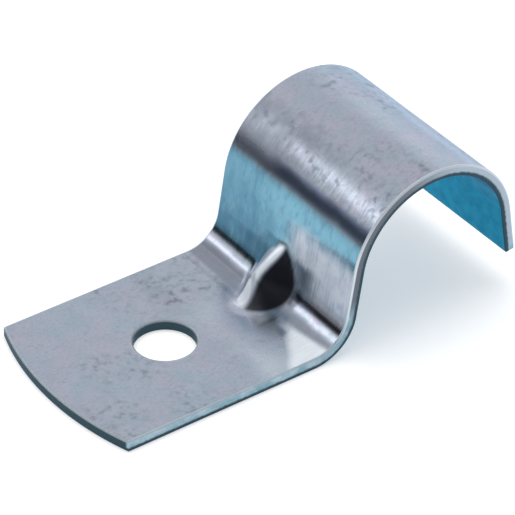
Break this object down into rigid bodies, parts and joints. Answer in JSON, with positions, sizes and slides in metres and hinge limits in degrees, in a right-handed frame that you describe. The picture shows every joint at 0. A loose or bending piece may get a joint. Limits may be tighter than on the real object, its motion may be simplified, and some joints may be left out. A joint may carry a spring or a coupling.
{
  "type": "conduit strap",
  "caption": "Pressed sheet steel conduit strap: flat foot with a screw hole, a bend stiffened by a pressed gusset, and a half-round saddle ending in a short hooked leg.",
  "frame": {"origin": "centre of the screw hole, on the underside of the foot, which is the face that lies against the wall or ceiling", "axes": "+X from the screw hole towards the saddle, +Y along the conduit, +Z away from the mounting surface"},
  "size_m": [0.0509, 0.023, 0.0186],
  "materials": {
    "zinc_plated_steel": "satin blue-passivated zinc"
  },
  "bodies": {
    "root": {"strap_body": "zinc_plated_steel"}
  },
  "joints": []
}
